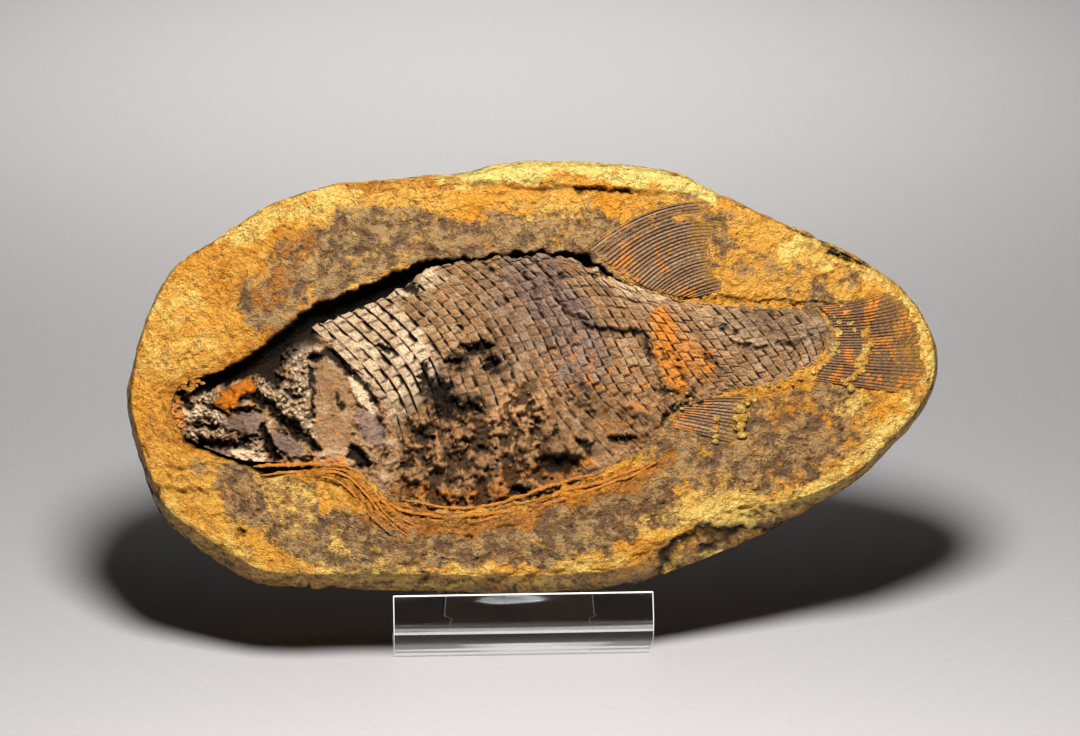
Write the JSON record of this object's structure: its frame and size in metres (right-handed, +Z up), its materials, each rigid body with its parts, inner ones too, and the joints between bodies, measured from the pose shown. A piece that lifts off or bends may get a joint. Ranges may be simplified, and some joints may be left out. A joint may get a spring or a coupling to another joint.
{
  "type": "fossil fish slab on easel",
  "caption": "Half of a split ironstone nodule with a fossil fish lying in its hollow, leaning upright on a small easel bent from clear sheet.",
  "frame": {"origin": "on the table, under the middle of the bounding box of slab and easel", "axes": "+Z up, +X along the fish from its snout to its tail, -Y towards the viewer of the split face"},
  "size_m": [0.1606, 0.0559, 0.0978],
  "materials": {
    "ironstone": "rough, dull, ochre with brown and grey stains",
    "clear_acrylic": "clear, polished"
  },
  "bodies": {
    "root": {"fossil_slab": "ironstone", "clear_easel": "clear_acrylic"}
  },
  "joints": []
}
